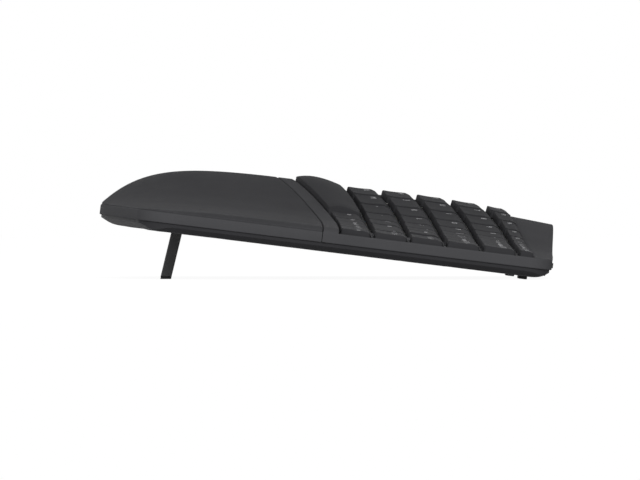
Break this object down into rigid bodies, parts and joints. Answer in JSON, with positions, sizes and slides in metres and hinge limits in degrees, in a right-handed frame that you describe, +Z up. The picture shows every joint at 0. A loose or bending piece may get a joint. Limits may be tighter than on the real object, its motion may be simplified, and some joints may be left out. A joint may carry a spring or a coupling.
{
  "type": "ergonomic keyboard",
  "caption": "Full-size split curved wireless keyboard with padded palm rest, sprung keys, sliding power switch, battery door and fold-out front legs.",
  "frame": {"origin": "middle of the bounding box's underside, on the surface it stands on", "axes": "+X to the user's right, +Y away from the user, +Z up; legs deployed, keyboard tilted 7 degrees"},
  "size_m": [0.456, 0.235, 0.0554],
  "materials": {
    "base_plastic": "fine spark-eroded texture",
    "case_plastic": "satin moulded",
    "key_plastic": "fine matt texture",
    "palm_cloth": "coated cloth",
    "foam": "open-cell foam",
    "inner_plastic": "natural moulded",
    "silicone_rubber": "moulded silicone",
    "membrane_film": "clear printed film",
    "plated_steel": "zinc plated sheet",
    "circuit_board": "green solder mask",
    "component_black": "moulded epoxy",
    "cell_jacket": "plain printed jacket",
    "spring_steel": "nickel plated",
    "switch_plastic": "moulded",
    "leg_plastic": "moulded",
    "foot_rubber": "matt",
    "screw_steel": "black oxide"
  },
  "bodies": {
    "case": {"base_cover": "base_plastic", "key_frame": "case_plastic", "palm_rest_tray": "case_plastic", "palm_rest_foam": "foam", "palm_rest_skin": "palm_cloth", "key_guide_plate": "inner_plastic", "key_guide_bushes": "inner_plastic", "rubber_domes": "silicone_rubber", "membrane_sheet": "membrane_film", "steel_backplate": "plated_steel", "controller_board": "circuit_board", "board_components": "component_black", "battery_cells": "cell_jacket", "battery_contacts": "spring_steel", "power_switch_body": "inner_plastic", "leg_hinge_pins": "spring_steel", "rear_feet": "foot_rubber", "case_screws": "screw_steel"},
    "shift_key_left": {"shift_key_left": "key_plastic"},
    "bottom_letters_left": {"bottom_letters_left": "key_plastic"},
    "caps_lock_key": {"caps_lock_key": "key_plastic"},
    "home_letters_left": {"home_letters_left": "key_plastic"},
    "tab_key": {"tab_key": "key_plastic"},
    "top_letters_left": {"top_letters_left": "key_plastic"},
    "number_row_left": {"number_row_left": "key_plastic"},
    "function_row_left": {"function_row_left": "key_plastic"},
    "bottom_letters_right": {"bottom_letters_right": "key_plastic"},
    "shift_key_right": {"shift_key_right": "key_plastic"},
    "home_letters_right": {"home_letters_right": "key_plastic"},
    "enter_key": {"enter_key": "key_plastic"},
    "top_letters_right": {"top_letters_right": "key_plastic"},
    "number_row_right": {"number_row_right": "key_plastic"},
    "backspace_key": {"backspace_key": "key_plastic"},
    "function_row_right": {"function_row_right": "key_plastic"},
    "modifier_keys_left": {"modifier_keys_left": "key_plastic"},
    "space_key_left": {"space_key_left": "key_plastic"},
    "space_key_right": {"space_key_right": "key_plastic"},
    "modifier_keys_right": {"modifier_keys_right": "key_plastic"},
    "arrow_keys_lower": {"arrow_keys_lower": "key_plastic"},
    "arrow_key_up": {"arrow_key_up": "key_plastic"},
    "nav_lower_row": {"nav_lower_row": "key_plastic"},
    "nav_upper_row": {"nav_upper_row": "key_plastic"},
    "nav_top_row": {"nav_top_row": "key_plastic"},
    "numpad_zero_row": {"numpad_zero_row": "key_plastic"},
    "numpad_one_row": {"numpad_one_row": "key_plastic"},
    "numpad_four_row": {"numpad_four_row": "key_plastic"},
    "numpad_seven_row": {"numpad_seven_row": "key_plastic"},
    "numpad_lock_row": {"numpad_lock_row": "key_plastic"},
    "numpad_top_row": {"numpad_top_row": "key_plastic"},
    "leg_left": {"front_leg_left": "leg_plastic", "leg_pad_left": "foot_rubber"},
    "leg_right": {"front_leg_right": "leg_plastic", "leg_pad_right": "foot_rubber"},
    "battery_door": {"battery_door": "base_plastic"},
    "power_switch": {"power_switch_knob": "switch_plastic"}
  },
  "joints": [
    {"name": "shift_key_left_press", "type": "slide", "parent": "case", "child": "shift_key_left", "axis": [0.0716, -0.1216, -0.99], "range_m": [0, 0.0018], "stiffness_N_per_m": 180, "springref_m": -0.0012},
    {"name": "bottom_letters_left_press", "type": "slide", "parent": "case", "child": "bottom_letters_left", "axis": [0.2049, -0.1193, -0.9715], "range_m": [0, 0.0018], "stiffness_N_per_m": 900, "springref_m": -0.0012},
    {"name": "caps_lock_key_press", "type": "slide", "parent": "case", "child": "caps_lock_key", "axis": [0.0724, -0.1218, -0.9899], "range_m": [0, 0.0018], "stiffness_N_per_m": 180, "springref_m": -0.0012},
    {"name": "home_letters_left_press", "type": "slide", "parent": "case", "child": "home_letters_left", "axis": [0.2024, -0.1226, -0.9716], "range_m": [0, 0.0018], "stiffness_N_per_m": 900, "springref_m": -0.0012},
    {"name": "tab_key_press", "type": "slide", "parent": "case", "child": "tab_key", "axis": [0.0691, -0.1229, -0.99], "range_m": [0, 0.0018], "stiffness_N_per_m": 180, "springref_m": -0.0012},
    {"name": "top_letters_left_press", "type": "slide", "parent": "case", "child": "top_letters_left", "axis": [0.1932, -0.1381, -0.9714], "range_m": [0, 0.0018], "stiffness_N_per_m": 900, "springref_m": -0.0012},
    {"name": "number_row_left_press", "type": "slide", "parent": "case", "child": "number_row_left", "axis": [0.1622, -0.1422, -0.9765], "range_m": [0, 0.0018], "stiffness_N_per_m": 1080, "springref_m": -0.0012},
    {"name": "function_row_left_press", "type": "slide", "parent": "case", "child": "function_row_left", "axis": [0.1524, -0.1476, -0.9772], "range_m": [0, 0.0018], "stiffness_N_per_m": 1080, "springref_m": -0.0012},
    {"name": "bottom_letters_right_press", "type": "slide", "parent": "case", "child": "bottom_letters_right", "axis": [-0.1712, -0.1201, -0.9779], "range_m": [0, 0.0018], "stiffness_N_per_m": 900, "springref_m": -0.0012},
    {"name": "shift_key_right_press", "type": "slide", "parent": "case", "child": "shift_key_right", "axis": [-0.0398, -0.1218, -0.9918], "range_m": [0, 0.0018], "stiffness_N_per_m": 180, "springref_m": -0.0012},
    {"name": "home_letters_right_press", "type": "slide", "parent": "case", "child": "home_letters_right", "axis": [-0.1543, -0.1237, -0.9803], "range_m": [0, 0.0018], "stiffness_N_per_m": 1080, "springref_m": -0.0012},
    {"name": "enter_key_press", "type": "slide", "parent": "case", "child": "enter_key", "axis": [-0.0304, -0.1226, -0.992], "range_m": [0, 0.0018], "stiffness_N_per_m": 180, "springref_m": -0.0012},
    {"name": "top_letters_right_press", "type": "slide", "parent": "case", "child": "top_letters_right", "axis": [-0.1215, -0.1365, -0.9832], "range_m": [0, 0.0018], "stiffness_N_per_m": 1440, "springref_m": -0.0012},
    {"name": "number_row_right_press", "type": "slide", "parent": "case", "child": "number_row_right", "axis": [-0.1315, -0.1458, -0.9805], "range_m": [0, 0.0018], "stiffness_N_per_m": 1260, "springref_m": -0.0012},
    {"name": "backspace_key_press", "type": "slide", "parent": "case", "child": "backspace_key", "axis": [-0.0244, -0.1279, -0.9915], "range_m": [0, 0.0018], "stiffness_N_per_m": 180, "springref_m": -0.0012},
    {"name": "function_row_right_press", "type": "slide", "parent": "case", "child": "function_row_right", "axis": [-0.1058, -0.1475, -0.9834], "range_m": [0, 0.0018], "stiffness_N_per_m": 1440, "springref_m": -0.0012},
    {"name": "modifier_keys_left_press", "type": "slide", "parent": "case", "child": "modifier_keys_left", "axis": [0.1244, -0.1209, -0.9848], "range_m": [0, 0.0018], "stiffness_N_per_m": 540, "springref_m": -0.0012},
    {"name": "space_key_left_press", "type": "slide", "parent": "case", "child": "space_key_left", "axis": [0.2059, -0.1193, -0.9713], "range_m": [0, 0.0018], "stiffness_N_per_m": 180, "springref_m": -0.0012},
    {"name": "space_key_right_press", "type": "slide", "parent": "case", "child": "space_key_right", "axis": [-0.1771, -0.1199, -0.9769], "range_m": [0, 0.0018], "stiffness_N_per_m": 180, "springref_m": -0.0012},
    {"name": "modifier_keys_right_press", "type": "slide", "parent": "case", "child": "modifier_keys_right", "axis": [-0.0696, -0.1216, -0.9901], "range_m": [0, 0.0018], "stiffness_N_per_m": 720, "springref_m": -0.0012},
    {"name": "arrow_keys_lower_press", "type": "slide", "parent": "case", "child": "arrow_keys_lower", "axis": [-0.0166, -0.1219, -0.9924], "range_m": [0, 0.0018], "stiffness_N_per_m": 540, "springref_m": -0.0012},
    {"name": "arrow_key_up_press", "type": "slide", "parent": "case", "child": "arrow_key_up", "axis": [-0.0164, -0.1219, -0.9924], "range_m": [0, 0.0018], "stiffness_N_per_m": 180, "springref_m": -0.0012},
    {"name": "nav_lower_row_press", "type": "slide", "parent": "case", "child": "nav_lower_row", "axis": [-0.0163, -0.1246, -0.9921], "range_m": [0, 0.0018], "stiffness_N_per_m": 540, "springref_m": -0.0012},
    {"name": "nav_upper_row_press", "type": "slide", "parent": "case", "child": "nav_upper_row", "axis": [-0.0157, -0.1258, -0.9919], "range_m": [0, 0.0018], "stiffness_N_per_m": 540, "springref_m": -0.0012},
    {"name": "nav_top_row_press", "type": "slide", "parent": "case", "child": "nav_top_row", "axis": [-0.0151, -0.1265, -0.9919], "range_m": [0, 0.0018], "stiffness_N_per_m": 540, "springref_m": -0.0012},
    {"name": "numpad_zero_row_press", "type": "slide", "parent": "case", "child": "numpad_zero_row", "axis": [-0.016, -0.1219, -0.9924], "range_m": [0, 0.0018], "stiffness_N_per_m": 540, "springref_m": -0.0012},
    {"name": "numpad_one_row_press", "type": "slide", "parent": "case", "child": "numpad_one_row", "axis": [-0.016, -0.1219, -0.9924], "range_m": [0, 0.0018], "stiffness_N_per_m": 720, "springref_m": -0.0012},
    {"name": "numpad_four_row_press", "type": "slide", "parent": "case", "child": "numpad_four_row", "axis": [-0.016, -0.122, -0.9924], "range_m": [0, 0.0018], "stiffness_N_per_m": 720, "springref_m": -0.0012},
    {"name": "numpad_seven_row_press", "type": "slide", "parent": "case", "child": "numpad_seven_row", "axis": [-0.0157, -0.1228, -0.9923], "range_m": [0, 0.0018], "stiffness_N_per_m": 720, "springref_m": -0.0012},
    {"name": "numpad_lock_row_press", "type": "slide", "parent": "case", "child": "numpad_lock_row", "axis": [-0.0151, -0.1232, -0.9923], "range_m": [0, 0.0018], "stiffness_N_per_m": 720, "springref_m": -0.0012},
    {"name": "numpad_top_row_press", "type": "slide", "parent": "case", "child": "numpad_top_row", "axis": [-0.0145, -0.1235, -0.9922], "range_m": [0, 0.0018], "stiffness_N_per_m": 720, "springref_m": -0.0012},
    {"name": "leg_left_fold", "type": "hinge", "parent": "case", "child": "leg_left", "pos_m": [-0.125, -0.0769, 0.02606], "axis": [1, 0, 0], "range_deg": [0, 96.6]},
    {"name": "leg_right_fold", "type": "hinge", "parent": "case", "child": "leg_right", "pos_m": [0.125, -0.0769, 0.02606], "axis": [1, 0, 0], "range_deg": [0, 96.6]},
    {"name": "battery_door_release", "type": "slide", "parent": "case", "child": "battery_door", "axis": [0, -0.1219, -0.9925], "range_m": [0, 0.007]},
    {"name": "power_switch_slide", "type": "slide", "parent": "case", "child": "power_switch", "axis": [1, 0, 0], "range_m": [0, 0.003]}
  ]
}
